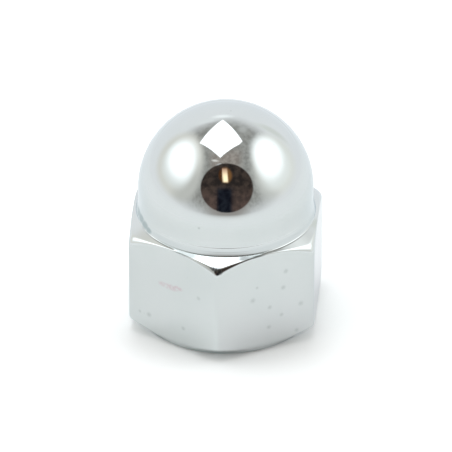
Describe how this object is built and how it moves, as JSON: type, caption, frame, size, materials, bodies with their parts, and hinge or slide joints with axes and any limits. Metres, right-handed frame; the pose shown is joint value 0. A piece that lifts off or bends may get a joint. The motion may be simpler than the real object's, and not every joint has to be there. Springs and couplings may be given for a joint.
{
  "type": "cap nut",
  "caption": "One-piece hexagon cap nut with a domed closed crown, a chamfered hexagon and a blind threaded hole, bright chrome finish.",
  "frame": {"origin": "centre of the bearing face, on the thread's axis", "axes": "+Z along the axis from the bearing face to the top of the dome; +X and -X out of two opposite flats; +Y and -Y towards two opposite corners"},
  "size_m": [0.01, 0.0114, 0.0123],
  "materials": {
    "chrome_plate": "bright chrome plate over steel, with fine pits and faint polishing marks; duller in the thread"
  },
  "bodies": {
    "root": {"cap_nut": "chrome_plate"}
  },
  "joints": []
}
